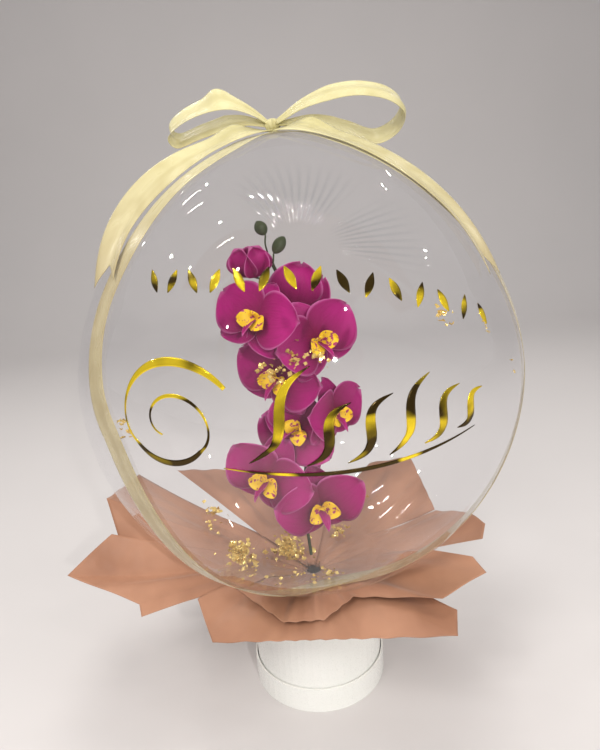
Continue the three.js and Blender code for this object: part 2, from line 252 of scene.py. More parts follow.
def bubble_at(u, v):
    """Rows run up from the end of the neck, which is pleated, to the top."""
    turn = 2 * pi * u
    row = v * SKIN_ROWS
    neck_rows = len(NECK_PROFILE)
    if row < neck_rows:
        radius, rise = NECK_PROFILE[int(row)]
        radius += min(radius * 0.12, 0.001) * cos(18 * turn)
        return around(degrees(turn), radius, CENTRE_Z - HALF_HEIGHT + rise)
    start, end = degrees(asin(NECK_SHOULDER_RADIUS / HALF_WIDTH)) - 90, 89.95
    latitude = start + (end - start) * (row - neck_rows) / (SKIN_ROWS - neck_rows)
    pleat = 0.0009 * exp(-(latitude + 90) / 9) * cos(24 * turn)
    return on_bubble(direction(degrees(turn), latitude), pleat)


bubble = Looks("clear_bubble", Base_Color=(0.95, 0.95, 0.96), Roughness=0.025, Metallic=1.0)
facing = bubble.node("ShaderNodeLayerWeight", {"Blend": 0.5}, output="Facing")
film_lines = bubble.noise(14, 2, bubble.stretched((1, 1, 0.25)))


def fan(longitude, latitude, low, high, near, far, count):
    """Fine creases that run out from a point of the film, between two angles and radii."""
    way = direction(longitude, latitude)
    middle = on_bubble(way)
    right = Vector((-way.y, way.x, 0)).normalized()
    axes = (right, way.cross(right))
    off = bubble.node("ShaderNodeVectorMath", {0: bubble.place(), 1: middle},
                      operation="SUBTRACT")
    x, y = (bubble.node("ShaderNodeVectorMath", {0: off, 1: axis}, output="Value",
                        operation="DOT_PRODUCT") for axis in axes)
    turn = y.math("ARCTAN2", x)
    reach = (x * x + y * y).math("SQRT")
    outside = bubble.node("ShaderNodeVectorMath", {0: bubble.place(), 1: way}, output="Value",
                          operation="DOT_PRODUCT")
    mask = bubble.ramp(turn, radians(low), radians(low + 12)) * bubble.ramp(
        turn, radians(high), radians(high - 12))
    mask = mask * bubble.ramp(reach, near, near * 1.6) * bubble.ramp(reach, far, far * 0.5)
    mask = mask * bubble.ramp(outside, 0.1, 0.2)
    lines = (turn * count + 2.5 * (reach * 30).math("SINE")).math("SINE")
    return (lines * 0.5 + 0.5) ** 2 * mask


FAN_MIDDLE = (1, 38)
creases = fan(*FAN_MIDDLE, -12, 40, 0.028, 0.11, 78) + fan(*FAN_MIDDLE, 48, 128, 0.022, 0.10, 64)
bubble.bump(film_lines * 0.6 + creases, 0.0012, 0.5)
clear = bubble.node("ShaderNodeBsdfTransparent", {"Color": (0.985, 0.985, 0.99)})
height = bubble.node("ShaderNodeSeparateXYZ", {0: bubble.place()}, output="Z")
at_neck = bubble.ramp(height, 0.146, 0.138, 0, 0.08)
haze = bubble.ramp(bubble.noise(5, 1), 0.48, 0.62, 0, 0.035)
share = 0.04 + haze + 0.45 * facing ** 3.8 + at_neck + creases * 0.5
skin = bubble.node("ShaderNodeMixShader", {0: share.math("MINIMUM", 1.0), 1: clear})
bubble.tree.links.new(bubble.shader.outputs[0], skin.socket.node.inputs[2])
bubble.tree.links.new(skin.socket, bubble.tree.nodes["Material Output"].inputs["Surface"])
piece(
    "bubble_skin", sheet_mesh("bubble_skin", bubble_at, SKIN_COLUMNS, SKIN_ROWS), bubble,
    replaces=["bubble_balloon"],
)


# Blush film sheets
# Matte wrapping film, cut in squares, folded and tucked into the box round the balloon. Each
# sheet is gathered over the rim and flares to pointed corners, with soft lengthwise folds.
BOX_RADIUS = 0.075
RIM_Z = 0.1523
LOWER_LAYER, LAYER_STEP = 0.0012, 0.0023
BEND_RADIUS = 0.0734
FOOT_RADIUS, FOOT_DEPTH = 0.0084, 0.022
ROWS_INSIDE, ROWS_OUTSIDE = 2, 5
PRESSED_RADIUS, PRESSED_GAP = 0.202, 0.0037
FILM_THICKNESS = 0.0004


def under_bubble(radius):
    share = min(radius / HALF_WIDTH, 1)
    return CENTRE_Z - HALF_HEIGHT * sqrt(1 - share * share)


def film_sheet(start, end, layer, arch, edge):
    """A sheet over the rim between two angles. Edge corners are angle, reach, rise in mm."""
    over = LOWER_LAYER + layer * LAYER_STEP
    corners = [around(a, BOX_RADIUS + r / 1000, RIM_Z + z / 1000) for a, r, z in edge]

    def at(u, v):
        angle = start + (end - start) * u
        row = v * (ROWS_INSIDE + ROWS_OUTSIDE)
        rim = around(angle, BOX_RADIUS + 0.0003, RIM_Z + over)
        if row <= ROWS_INSIDE:
            bend = around(angle, BEND_RADIUS - over, RIM_Z + over)
            if row > 1:
                return bend.lerp(rim, row - 1)
            foot = around(angle, FOOT_RADIUS, RIM_Z - FOOT_DEPTH + layer * LAYER_STEP)
            point = foot.lerp(bend, row)
            point.z += 0.0009 * sin(pi * row) * cos(radians(13 * angle) + 4 * row)
            return point
        w = (row - ROWS_INSIDE) / ROWS_OUTSIDE
        along = u * (len(corners) - 1)
        k = min(floor(along), len(corners) - 2)
        point = rim.lerp(corners[k].lerp(corners[k + 1], along - k), w)
        lift = 4 * w * (1 - w)
        turn = atan2(point.x, -point.y)
        point.z += arch * lift / 1000 + 0.003 * lift * cos(11 * turn)
        point.z += 0.0007 * w ** 0.5 * cos(37 * turn + 5 * sin(3 * turn))
        point.z += 0.0016 * lift * cos(19 * turn + 2 * sin(5 * turn))
        radius = hypot(point.x, point.y)
        if radius < PRESSED_RADIUS and w > 0.15:
            ceiling = under_bubble(radius) - PRESSED_GAP - (1 - layer) * LAYER_STEP
            point.z = min(point.z, ceiling)
        return point

    return at


film = Looks("blush_film", Roughness=0.5, Sheen_Weight=0.15, Sheen_Roughness=0.4)
soft = film.noise(14, 3)
fine = film.noise(60, 5, distortion=0.6)
film.set("Base Color", film.mix(
    film.ramp(soft, 0.35, 0.68), (0.41, 0.21, 0.128), (0.29, 0.138, 0.08)))
film.set("Roughness", film.ramp(fine, 0.3, 0.7, 0.42, 0.6))
film.bump(fine + 2 * soft, 0.0008, 0.5)

# Each has its flat size, its two angles, its layer, 0 below or 1 above, its arch in mm and
# its edge.
film_sheets = {
    "film_sheet_front": ((0.18, 0.13), -57, 64, 0, 3, [
        (-59, 71, 4), (-42, 84, -17), (5, 54, -14), (44, 118, -12), (52, 104, -4), (52, 86, -2)]),
    "film_fold_front": ((0.17, 0.125), -49, 88, 1, 2, [
        (-47, 37, 13), (-16, 46, 0), (3, 42, 0), (22, 27, 8), (48, 94, 13), (63, 123, 23),
        (68, 107, 28)]),
    "film_sheet_left": ((0.08, 0.205), -92, -51, 1, -2, [
        (-88, 153, 50), (-82, 201, 20), (-67, 127, 6), (-64, 128, -2)]),
    "film_sheet_left_back": ((0.095, 0.20), -129, -86, 0, -4, [
        (-118, 179, 63), (-96, 165, 78), (-91, 150, 40)]),
    "film_sheet_back": ((0.12, 0.15), 165, 235, 1, 0, [
        (166, 58, 16), (184, 72, 20), (212, 110, 44), (233, 145, 60)]),
    "film_sheet_back_right": ((0.11, 0.145), 116, 168, 0, -2, [
        (107, 87, 22), (136, 133, 48), (151, 108, 38), (155, 84, 24)]),
    "film_sheet_right": ((0.07, 0.135), 81, 116, 0, -2, [
        (74, 116, 38), (80, 120, 46), (90, 108, 42), (102, 82, 28)]),
}
for name, (flat, *shape) in film_sheets.items():
    columns = 24 * (len(shape[-1]) - 1)
    mesh = sheet_mesh(name + "_film", film_sheet(*shape), columns, 56, size=flat)
    sheet = piece(name + "_film", mesh, film, replaces=[name],
                  thickness=FILM_THICKNESS)


# Satin ribbon
# One length of cream-yellow satin, 27 mm wide, passed round the balloon and tied on top in a
# bow. It is thin and gathers in pleats at the knot. It shines in bands along its length, by its
# roughness and by painted sheen in its colour, and its colour has painted light at the bow on top
# and painted shade lower down.
RIBBON_WIDTH, RIBBON_LENGTH, RIBBON_THICKNESS = 0.027, 2.3, 0.0004
WIDTH_IN_KNOT, GATHERED_SHARE = 0.007, 0.2
STRAP_LENGTH, STRAP_STANDOFF, TAIL_STANDOFF = 1.3, 0.0013, 0.003
TAIL_NOTCH, TAIL_LIFT_SPAN, STEEPEST_LIFT = 0.018, 0.85, 0.9
KNOT_AT, KNOT_STANDOFF = (-65, 86.3), 0.0078
KNOT_RADIUS, KNOT_FLATNESS = 0.0068, 0.85
BOW_LEAN = radians(36)
BOW_UP = Vector((0, -sin(BOW_LEAN), cos(BOW_LEAN)))
BOW_BACK = Vector((0, cos(BOW_LEAN), sin(BOW_LEAN)))


def smooth_line(stops, closed=False):
    """A line through the stops, as a function of the share of its length, and its length."""
    count = len(stops)
    points = []
    for i in range(count if closed else count - 1):
        b, c = stops[i], stops[(i + 1) % count]
        a = stops[i - 1] if closed or i else 2 * b - c
        d = stops[(i + 2) % count] if closed or i + 2 < count else 2 * c - b
        t0, t1, t2 = sqrt((b - a).length), sqrt((c - b).length), sqrt((d - c).length)
        start = ((b - a) / t0 - (c - a) / (t0 + t1) + (c - b) / t1) * t1
        end = ((c - b) / t1 - (d - b) / (t1 + t2) + (d - c) / t2) * t1
        for k in range(40):
            t = k / 40
            points.append(b * (2 * t ** 3 - 3 * t ** 2 + 1) + start * (t ** 3 - 2 * t ** 2 + t)
                          + c * (3 * t ** 2 - 2 * t ** 3) + end * (t ** 3 - t ** 2))
    points.append(stops[0] if closed else stops[-1])
    far = [0.0]
    for a, b in zip(points, points[1:]):
        far.append(far[-1] + (b - a).length)

    def at(share):
        aim = min(max(share, 0), 1) * far[-1]
        low, high = 0, len(far) - 1
        while high - low > 1:
            middle = (low + high) // 2
            low, high = (middle, high) if far[middle] <= aim else (low, middle)
        return points[low].lerp(points[high], (aim - far[low]) / (far[high] - far[low]))

    return at, far[-1]


def on_band(line, t, across, height, closed=False, tilt=0.0):
    """A place of a band along a line over the balloon, across metres off its middle."""

    def spot(share, up):
        share = share % 1 if closed else min(max(share, 0), 1)
        return on_bubble(line(share).normalized(), up)

    place, above = spot(t, height), spot(t, height + 0.01)
    along = spot(t + 1e-3, height) - spot(t - 1e-3, height)
    side, up = along.cross(above - place).normalized(), (above - place).normalized()
    return place + (side * cos(tilt) + up * sin(tilt)) * across


def width_at(share):
    return WIDTH_IN_KNOT + (RIBBON_WIDTH - WIDTH_IN_KNOT) * min(share / GATHERED_SHARE, 1)


def gathers(u, share, depth=0.0009):
    """Lengthwise pleats that fade away from the knot."""
    return depth * exp(-share / 0.12) * cos(2 * pi * 4.5 * u)


# Longitudes and latitudes, after the knot
strap_route = [
    (-46, 70), (-54, 54), (-54, 38), (-54, 24), (-50, 10), (-43, -4), (-39, -18), (-34, -42),
    (-20, -64), (20, -74), (52, -60), (64, -38), (70, -14), (71, 8), (69, 30), (62, 50), (50, 70),
]
# Longitudes and latitudes, after the knot, and how far one edge lifts
tail_routes = {
    "left": ([(-62, 82), (-64, 72), (-66, 61), (-66, 52), (-64, 44), (-60, 37), (-56, 31)], 0.019),
    "right": ([(30, 82), (48, 73), (57, 62), (61, 51), (62, 42), (61, 33), (60, 27)], -0.005),
}
# Millimetres right and up from the knot in the leaning plane of the bow, and the setback
loop_routes = {
    "right": ([(4, 3), (30, 20), (60, 30), (86, 31), (112, 23), (125, 9), (120, -8), (101, -19),
               (72, -8), (38, 3), (4, 1)], 0.0),
    "left": ([(-4, 3), (-18, 13), (-37, 20), (-61, 18), (-86, 8), (-100, -5), (-95, -14),
              (-68, -6), (-29, 4), (-4, 1)], 0.010),
}
knot_place = on_bubble(direction(*KNOT_AT), KNOT_STANDOFF)


def strap_mesh():
    stops = [direction(*KNOT_AT)] + [direction(*stop) for stop in strap_route]
    line, _ = smooth_line(stops, closed=True)

    def at(u, v):
        height = STRAP_STANDOFF + gathers(u, min(v, 1 - v) * 3, 0.0004)
        return on_band(line, v, (u - 0.5) * RIBBON_WIDTH, height, closed=True)

    return sheet_mesh("strap", at, 16, 260, ring=True, size=(RIBBON_WIDTH, STRAP_LENGTH))


def tail_mesh(side):
    route, most_lift = tail_routes[side]
    line, length = smooth_line([direction(*KNOT_AT)] + [direction(*stop) for stop in route])
    length *= HALF_WIDTH

    def at(u, v):
        t = v * (1 - (1 - abs(2 * u - 1)) * TAIL_NOTCH / length)
        width = width_at(t * 1.8)
        near_knot = 0.010 * exp(-(((t - 0.16) / 0.09) ** 2))
        lift = abs(most_lift) * sin(pi * TAIL_LIFT_SPAN * t) ** 2 + near_knot
        lift = min(lift, width * STEEPEST_LIFT)
        tilt = asin(lift / width) * (1 if most_lift > 0 else -1)
        height = TAIL_STANDOFF + lift / 2 + gathers(u, t)
        height += 0.0014 * cos(2 * pi * u) * min(t * 3, 1) * (0.6 + 0.4 * sin(9 * t))
        return on_band(line, t, (u - 0.5) * width, height, tilt=tilt)

    return sheet_mesh("tail", at, 18, 90, size=(RIBBON_WIDTH, length))


def loop_mesh(side):
    route, setback = loop_routes[side]
    line, length = smooth_line([Vector((x / 1000, y / 1000, 0)) for x, y in route])

    def at(u, v):
        near = min(v, 1 - v)
        spot = line(v)
        along = line(v + 2e-3) - line(v - 2e-3)
        out = Vector((along.y, 0, 0)) - BOW_UP * along.x
        across = (u - 0.5) * width_at(near) + setback * min(near / GATHERED_SHARE, 1)
        ripple = gathers(u, near * 1.6) + 0.0012 * cos(2 * pi * (u + 0.15)) * sin(pi * v)
        if side == "left":
            ripple += 0.007 * u * exp(-(((v - 0.24) / 0.05) ** 2))
        return (knot_place + Vector((spot.x, 0, 0)) + BOW_UP * spot.y + BOW_BACK * across
                + out.normalized() * ripple)

    return sheet_mesh("loop", at, 18, 120, size=(RIBBON_WIDTH, length))


def knot_mesh():
    def at(u, v):
        turn, rise = 2 * pi * u, pi * (v - 0.5)
        fold = 1 + 0.14 * cos(5 * turn) * cos(rise) + 0.07 * sin(9 * turn + 2 * rise)
        shape = Vector((cos(rise) * cos(turn), cos(rise) * sin(turn), KNOT_FLATNESS * sin(rise)))
        return knot_place + shape * KNOT_RADIUS * fold

    return sheet_mesh("knot", at, 48, 24, size=(0.05, RIBBON_WIDTH))


satin = Looks("cream_satin", Sheen_Weight=0.3, Sheen_Roughness=0.3, Coat_Weight=0.15,
              Coat_Roughness=0.25, Anisotropic=0.5)
weave_at = satin.uv()
threads = satin.noise(1, 2, satin.stretched((5200, 40, 1), weave_at))
# Lengthwise satin bands: in the colour they are painted sheen, lighter and darker stripes that
# stand for shine; in the roughness and the bump they are real.
sheen_bands = satin.noise(1, 1, satin.stretched((90, 7, 1), weave_at))
shine = satin.noise(1, 1, satin.stretched((30, 50, 1), weave_at))
sheen_bands = sheen_bands * 0.6 + shine * 0.4
rise = satin.node("ShaderNodeSeparateXYZ", {0: satin.place()}, output="Z")
# Painted light and shade: the colour is lighter near the top, where the bow catches the light, and
# darker lower down on the strap and tails, as painted shade.
painted_light_near_top = satin.ramp(rise, 0.50, 0.62)
satin.set("Base Color", satin.mix(
    satin.ramp(sheen_bands, 0.40, 0.60),
    satin.mix(painted_light_near_top, (0.54, 0.46, 0.26), (0.70, 0.65, 0.36)),
    satin.mix(painted_light_near_top, (0.44, 0.36, 0.19), (0.57, 0.51, 0.24))))
satin.set("Roughness", satin.ramp(sheen_bands, 0.38, 0.62, 0.20, 0.42))
satin.set("Alpha", 0.7)
satin.bump(threads * 0.5 + sheen_bands * 2, 0.0002, 0.6)


def joined(name, meshes):
    """One mesh of several, which stay separate inside it."""
    vertices, faces, corners = [], [], []
    for mesh in meshes:
        faces += [[len(vertices) + v for v in face.vertices] for face in mesh.polygons]
        vertices += [v.co.copy() for v in mesh.vertices]
        corners += [c.uv.copy() for c in mesh.uv_layers["along"].data]
    return smooth_mesh(name, vertices, faces, corners)


ribbon = piece(
    "ribbon", joined("ribbon", [strap_mesh(), tail_mesh("left"), tail_mesh("right"),
                                loop_mesh("left"), loop_mesh("right"), knot_mesh()]),
    satin, replaces=["satin_ribbon"], thickness=RIBBON_THICKNESS,
)


# Gold foil strokes
# Mirror-gold foil, cut out and pressed on the front of the balloon: a row of small leaves, and
# under it a volute, slanting leaves and a stem. Bright and dark patches of its mirror are painted
# into its colour as painted reflection.
FOIL_STANDOFF, FOIL_THICKNESS = 0.00055, 0.0003
WIDE_MM, HIGH_MM = HALF_WIDTH * 1000, HALF_HEIGHT * 1000
TICK_COUNT, TICK_LENGTH, TICK_WIDTH, TICK_LEAN = 15, 20, 7, 24
ROW_LEFT, ROW_RIGHT, ROW_LATITUDE, ROW_FALL, ROW_LEVEL_SHARE = -36, 46, 33, 22, 0.45
STROKE_TIP = 0.6
VOLUTE_CENTRE, VOLUTE_RADII, VOLUTE_START, VOLUTE_TURN = (-104, 24), (58, 54), 35, 560
VOLUTE_SHRINK, VOLUTE_HAIRLINE, VOLUTE_SWELL = 0.76, 1.6, 6
STEM_LEFT, STEM_SPAN, STEM_SAG, STEM_WIDTH = (-62, -13), (206, 6), 8, 3.4
LEAF_WIDTH, LEAF_CLEARANCE = 8, 7


def foil_stroke(path, width, steps):
    """A band along a path that is in mm right and up from the middle of the front."""

    def at(u, v):
        ahead = (path(min(v + 1e-3, 1)) - path(max(v - 1e-3, 0))).normalized()
        across = (u - 0.5) * width(v)
        x, y = path(v) + Vector((ahead.y, -ahead.x)) * across
        latitude = y / HIGH_MM
        longitude = x / (WIDE_MM * cos(latitude))
        return on_bubble(direction(degrees(longitude), degrees(latitude)), FOIL_STANDOFF)

    return sheet_mesh("stroke", at, 4, steps, size=(0.008, 0.08))


def leaf_width(most):
    return lambda v: STROKE_TIP + (most - STROKE_TIP) * sin(pi * v)


def tick(index):
    share = index / (TICK_COUNT - 1)
    longitude = radians(ROW_LEFT + (ROW_RIGHT - ROW_LEFT) * share)
    latitude = radians(ROW_LATITUDE - ROW_FALL * max(share - ROW_LEVEL_SHARE, 0) * share)
    middle = Vector((longitude * WIDE_MM * cos(latitude), latitude * HIGH_MM))
    lean = radians(TICK_LEAN if index % 2 else -TICK_LEAN)
    reach = Vector((sin(lean), cos(lean))) * (TICK_LENGTH / 2)
    return foil_stroke(lambda v: middle + reach * (2 * v - 1), leaf_width(TICK_WIDTH), 16)


def volute_turn(v):
    return radians(VOLUTE_START + VOLUTE_TURN * v)


def volute(v):
    size, turn = 1 - VOLUTE_SHRINK * v, volute_turn(v)
    wide, high = VOLUTE_RADII
    return Vector(VOLUTE_CENTRE) + Vector((wide * size * cos(turn), high * size * sin(turn)))


def volute_width(v):
    return VOLUTE_HAIRLINE + VOLUTE_SWELL * sin(volute_turn(v)) ** 2 * (1 - v)


def stem_line(v):
    across, rise = STEM_SPAN
    return Vector(STEM_LEFT) + Vector((across * v, rise * v * v - STEM_SAG * sin(pi * v)))


def leaf(foot, length, lean, bend):
    along = Vector((sin(radians(lean)), cos(radians(lean))))
    aside = Vector((along.y, -along.x))
    on_stem = (foot - STEM_LEFT[0]) / STEM_SPAN[0]
    start = stem_line(on_stem) + Vector((0, LEAF_CLEARANCE))
    return foil_stroke(
        lambda v: start + along * (length * v) + aside * (bend * sin(2 * pi * v)),
        leaf_width(LEAF_WIDTH), 40)


# Each leaf's foot, length, lean in degrees and bend
foil_leaves = [(-42, 92, 32, 8), (0, 62, 34, 7), (30, 66, 34, 8), (62, 74, 30, 7),
               (92, 58, 38, 8), (124, 44, 44, 7)]
foil = Looks("gold_foil", Metallic=0.75, Roughness=0.18)
# Painted reflection: bright gold and near-black patches in the colour stand for the light and dark
# surroundings that the mirror foil reflects.
painted_reflection_patches = foil.noise(16, 1, foil.stretched((1, 1, 2.4)), distortion=0.8)
foil.set("Base Color", foil.mix(
    foil.ramp(painted_reflection_patches, 0.42, 0.56), (0.98, 0.72, 0.03), (0.05, 0.03, 0.004)))
foil.bump(foil.noise(60, 2), 0.0006, 0.4)

piece(
    "foil_row", joined("foil_row", [tick(i) for i in range(TICK_COUNT)]), foil,
    replaces=["foil_tick_%02d" % (i + 1) for i in range(TICK_COUNT)], thickness=FOIL_THICKNESS,
)
flourish = [foil_stroke(volute, volute_width, 160),
            foil_stroke(stem_line, leaf_width(STEM_WIDTH), 90)]
flourish += [leaf(*shape) for shape in foil_leaves]
piece(
    "foil_flourish", joined("foil_flourish", flourish), foil,
    replaces=["foil_volute", "foil_stem"] + ["foil_leaf_%d" % (i + 1) for i in range(6)],
    thickness=FOIL_THICKNESS,
)


# Artificial orchid, sealed in the balloon
# Printed fabric on green wire. Seven open flowers face the front and two the back, with a
# half-open one, a magenta bud and green buds over them. The petals are magenta with pale
# margins and veins, the lips yellow with purple marks.
PETAL_THICKNESS, LIP_THICKNESS = 0.0004, 0.0005
rng = random.Random(7)

petal_looks = Looks("orchid_petal", Roughness=0.5, Sheen_Weight=0.03, Specular_IOR_Level=0.25)
on_petal = petal_looks.uv()
across, outward = (petal_looks.node("ShaderNodeSeparateXYZ", {0: on_petal}, output=axis)
                   for axis in "XY")
off_middle = (across - 0.5).math("ABSOLUTE") * 2
margin = petal_looks.ramp(off_middle.math("MAXIMUM", outward), 0.90, 1.0)
veins = petal_looks.noise(1, 2, petal_looks.stretched((34, 2.2, 1), on_petal))
body = petal_looks.mix(
    petal_looks.ramp(outward + veins * 0.5, 0.3, 1.0), (0.17, 0.001, 0.055), (0.36, 0.006, 0.15))
petal_looks.set("Base Color", petal_looks.mix(margin * 0.8, body, (0.52, 0.13, 0.33)))
petal_looks.bump(veins, 0.0004, 0.4)

lip_looks = Looks("orchid_lip", Roughness=0.5)
blotch = lip_looks.noise(220, 2)
lip_looks.set("Base Color", lip_looks.mix(
    lip_looks.ramp(blotch, 0.56, 0.62), (0.90, 0.58, 0.015), (0.36, 0.02, 0.12)))

green_looks = Looks("orchid_green", Roughness=0.5)
green_looks.set("Base Color", green_looks.mix(
    green_looks.noise(120, 3), (0.06, 0.075, 0.03), (0.025, 0.035, 0.012)))


def petal(place, out, face, length, width, cup=0.25, tip=1.0):
    """A petal that grows from place along out, with its upper side towards face."""
    side = out.cross(face).normalized()
    wave = rng.uniform(0, 6)

    def at(u, v):
        across = 2 * u - 1
        breadth = width / 2 * (sin(pi * min(v, 1) ** 0.75) ** 0.65 * (1 - 0.15 * v * tip) + 0.06)
        lift = cup * length * (0.5 * across ** 2 * v + 0.35 * sin(pi * v) - 0.25 * v * v)
        ripple = 0.045 * length * sin(5 * v + 3 * across + wave) * abs(across) * v
        return (place + out * (length * v) + side * (across * breadth)
                + face * (lift * 0.55 + ripple))

    return sheet_mesh("petal", at, 14, 16)


def flower(place, face, turn, size):
    """Two broad petals, three narrower sepals behind them, and a yellow and magenta lip."""
    face = face.normalized()
    side = Vector((0, 0, 1)).cross(face).normalized()
    up = face.cross(side)

    def way(angle):
        a = radians(angle + turn)
        return side * sin(a) + up * cos(a)

    petals = []
    for angle in (0, 128, 232):
        petals.append(petal(place - face * 0.004, (way(angle) - face * 0.12).normalized(), face,
                            0.044 * size, 0.038 * size, 0.25))
    for angle in (72, 288):
        petals.append(petal(place, (way(angle) + face * 0.10).normalized(), face,
                            0.048 * size, 0.058 * size, 0.42, 0.3))
    petals.append(petal(place + face * 0.003, (way(180) * 0.8 + face * 0.6).normalized(), up,
                        0.024 * size, 0.011 * size, 0.5))
    lips = []
    for angle in (112, 248):
        out = (way(angle) * 0.85 + face * 0.5).normalized()
        lips.append(petal(place + face * 0.003, out, face, 0.019 * size, 0.019 * size, 0.6))
    lips.append(petal(place + face * 0.003, (face + way(0) * 0.4).normalized(), way(0),
                      0.014 * size, 0.012 * size, 0.6))
    return petals, lips


# Each flower's place, the way it faces, its turn in degrees and its size
flowers = [
    ((-0.0415, -0.020, 0.4400), (-0.30, -1, 0.42), 22, 1.00),
    ((0.0200, -0.014, 0.4130), (0.45, -1, 0.15), -24, 1.05),
    ((-0.0240, 0.004, 0.3700), (-0.45, -1, 0.05), 24, 1.10),
    ((0.0340, 0.002, 0.3260), (1.00, -1, 0.05), -6, 0.95),
    ((-0.0060, 0.006, 0.3080), (-0.20, -1, 0.25), 60, 1.00),
    ((-0.0440, -0.008, 0.2580), (-0.30, -1, 0.00), 30, 1.14),
    ((0.0130, -0.006, 0.2190), (0.20, -1, -0.12), -10, 1.16),
    ((0.0080, 0.040, 0.4060), (0.20, 1, 0.10), 30, 1.05),
    ((-0.0100, 0.036, 0.2860), (-0.20, 1, 0.10), -20, 1.05),
]
all_petals, all_lips = [], []
for place, face, turn, size in flowers:
    petals, lips = flower(Vector(place), Vector(face), turn, size)
    all_petals += petals
    all_lips += lips
half_open = (
    ((-0.004, 0.006, 0.448), (0.30, -0.05, 1), (0.05, -1, 0.35), 0.054),
    ((0.004, 0.014, 0.446), (0.75, 0.10, 0.75), (0.1, -1, 0.45), 0.046),
    ((-0.004, 0.018, 0.450), (-0.20, 0.45, 1), (0, 0.9, 0.5), 0.046),
)
for place, out, face, wide in half_open:
    all_petals.append(petal(Vector(place), Vector(out).normalized(), Vector(face), wide * 0.85,
                            wide, 0.7, 0.2))
bud_place = Vector((-0.040, -0.006, 0.482))
for angle in (0, 72, 144, 216, 288):
    way = around(180 - angle, 1, 0)
    out = (Vector((-0.20, 0, 1)) + way * 0.15).normalized()
    all_petals.append(petal(bud_place + way * 0.005, out, -way, 0.031, 0.034, -1.0, 0.3))
piece("orchid_petals", joined("orchid_petals", all_petals), petal_looks,
      thickness=PETAL_THICKNESS)
piece("orchid_lips", joined("orchid_lips", all_lips), lip_looks,
      thickness=LIP_THICKNESS)


def tube_mesh(points, radius, sides=10, steps=60):
    """A round wire through points. Its radius is one value or a function of its length."""
    line, length = smooth_line([Vector(p) for p in points])

    def at(u, v):
        along = (line(v + 1e-3) - line(v - 1e-3)).normalized()
        one = along.cross(Vector((0.3, 1, 0.1))).normalized()
        turn = 2 * pi * u
        reach = radius(v) if callable(radius) else radius
        return line(v) + (one * cos(turn) + along.cross(one) * sin(turn)) * reach

    return sheet_mesh("tube", at, sides, steps, size=(0.01, length))


def bud_radius(v):
    return 0.0002 + 0.0063 * sin(pi * v) ** 0.6


STALK_RADIUS, TWIG_RADIUS, TIP_RADIUS = 0.0019, 0.0011, 0.0009
stalk = [(-0.002, 0.004, 0.150), (-0.006, 0.012, 0.220), (0.004, 0.016, 0.300),
         (-0.002, 0.014, 0.380), (-0.006, 0.010, 0.450), (-0.022, 0.004, 0.496)]
green = [tube_mesh(stalk, STALK_RADIUS)]
for (x, y, z), _, _, _ in flowers:
    green.append(tube_mesh([
        (-0.002, 0.013, z - 0.018), (x * 0.5, y * 0.5 + 0.008, z - 0.004), (x, y + 0.002, z),
    ], TWIG_RADIUS, 8, 16))
for tip, lean in (((-0.029, -0.010, 0.5300), (-0.004, 0, 0.007)),
                  ((-0.0124, -0.010, 0.5124), (0.006, 0, 0.008))):
    tip, lean = Vector(tip), Vector(lean)
    foot = tip - lean
    green.append(tube_mesh([(-0.022, 0.004, 0.494), foot - Vector((0.001, 0, 0.008)), foot],
                           TIP_RADIUS, 8, 16))
    green.append(tube_mesh([foot, tip, tip + lean], bud_radius, 16, 14))
green.append(tube_mesh([(-0.022, 0.004, 0.470), (-0.032, 0, 0.478), bud_place],
                       TWIG_RADIUS, 8, 12))
piece("orchid_stem", joined("orchid_stem", green), green_looks)


# Gold leaf, sealed in the balloon
# Crumbs and torn flakes of metal leaf that cling to the inside of the film and to the petals.
# They lie in two heaps at the bottom, with a few scattered high on the wall.
FULLEST_SHARE, OFF_SKIN = 0.98, 0.004
HEAP_FLAKE, PETAL_FLAKE = 0.0042, 0.0034
leaf_gold = Looks("gold_leaf", Metallic=0.45, Roughness=0.25)
leaf_gold.set("Base Color", leaf_gold.mix(
    leaf_gold.noise(400, 2), (1.0, 0.80, 0.30), (0.62, 0.38, 0.08)))


def flakes(place, normal, count, spread, size):
    """Torn flakes round a place, all kept inside the balloon's skin."""
    one = normal.orthogonal().normalized()
    two = normal.cross(one)
    meshes = []
    for _ in range(count):
        far, turn = abs(rng.gauss(0, spread)), rng.uniform(0, 2 * pi)
        middle = place + (one * cos(turn) + two * sin(turn)) * far + normal * rng.uniform(0, 0.002)
        off = middle - Vector((0, 0, CENTRE_Z))
        full = hypot(off.x / HALF_WIDTH, off.y / HALF_WIDTH, off.z / HALF_HEIGHT)
        middle -= off * max(1 - FULLEST_SHARE / full, 0)
        tilt = Matrix.Rotation(rng.uniform(0, 2 * pi), 3, "X") @ Matrix.Rotation(
            rng.uniform(0, 2 * pi), 3, "Z")
        reach = size * rng.uniform(0.4, 1.5)
        bumps = [rng.uniform(-0.35, 0.35) for _ in range(9)]

        def at(u, v, middle=middle, tilt=tilt, reach=reach, bumps=bumps):
            k = round(u * 2) + 3 * round(v * 2)
            spot = Vector((u - 0.5 + 0.3 * bumps[k], v - 0.5 + 0.3 * bumps[8 - k], bumps[k]))
            return middle + tilt @ (spot * reach)

        meshes.append(sheet_mesh("flake", at, 2, 2, size=(0.002, 0.002)))
    return meshes


def inside(longitude, latitude):
    way = direction(longitude, latitude)
    return on_bubble(way, -OFF_SKIN), -way


